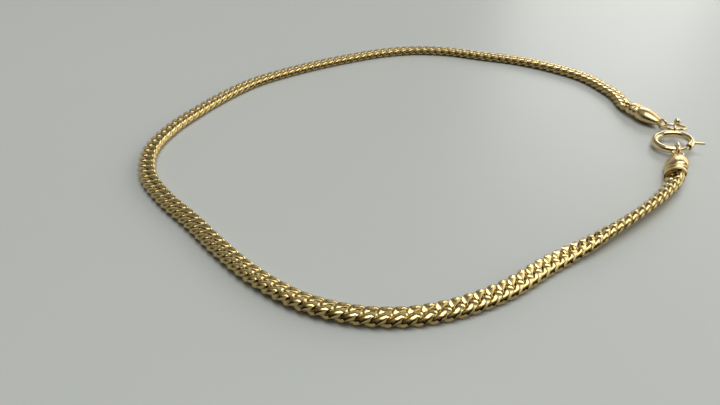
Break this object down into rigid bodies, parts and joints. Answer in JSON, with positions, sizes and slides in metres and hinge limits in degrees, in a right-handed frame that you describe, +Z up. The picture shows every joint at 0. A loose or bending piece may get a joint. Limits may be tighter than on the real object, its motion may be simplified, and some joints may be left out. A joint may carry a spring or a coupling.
{
  "type": "flat chain bracelet",
  "caption": "Narrow flat gold chain bracelet lying in an open loop, closed by a spring ring clasp with a jump ring and bell-shaped end caps.",
  "frame": {"origin": "centre of the bounding box's footprint, on the surface the bracelet lies on", "axes": "+Z up from the surface, +X towards the clasp side, +Y away from the viewer of the picture"},
  "size_m": [0.0675, 0.0633, 0.002],
  "materials": {
    "chain_gold": "polished",
    "cap_gold": "polished",
    "clasp_gold": "polished"
  },
  "bodies": {
    "bracelet": {"chain": "chain_gold", "end_cap_front": "cap_gold", "end_cap_far": "cap_gold", "spring_ring": "clasp_gold", "jump_ring": "clasp_gold", "link_ring": "clasp_gold"},
    "gate": {"gate": "clasp_gold"}
  },
  "joints": [
    {"name": "gate_slide", "type": "hinge", "parent": "bracelet", "child": "gate", "pos_m": [0.03046, -0.00278, 0.00095], "axis": [-0.1564, 0, 0.9877], "range_deg": [0, 38], "stiffness_Nm_per_rad": 0.0005, "springref_deg": -5.73}
  ]
}
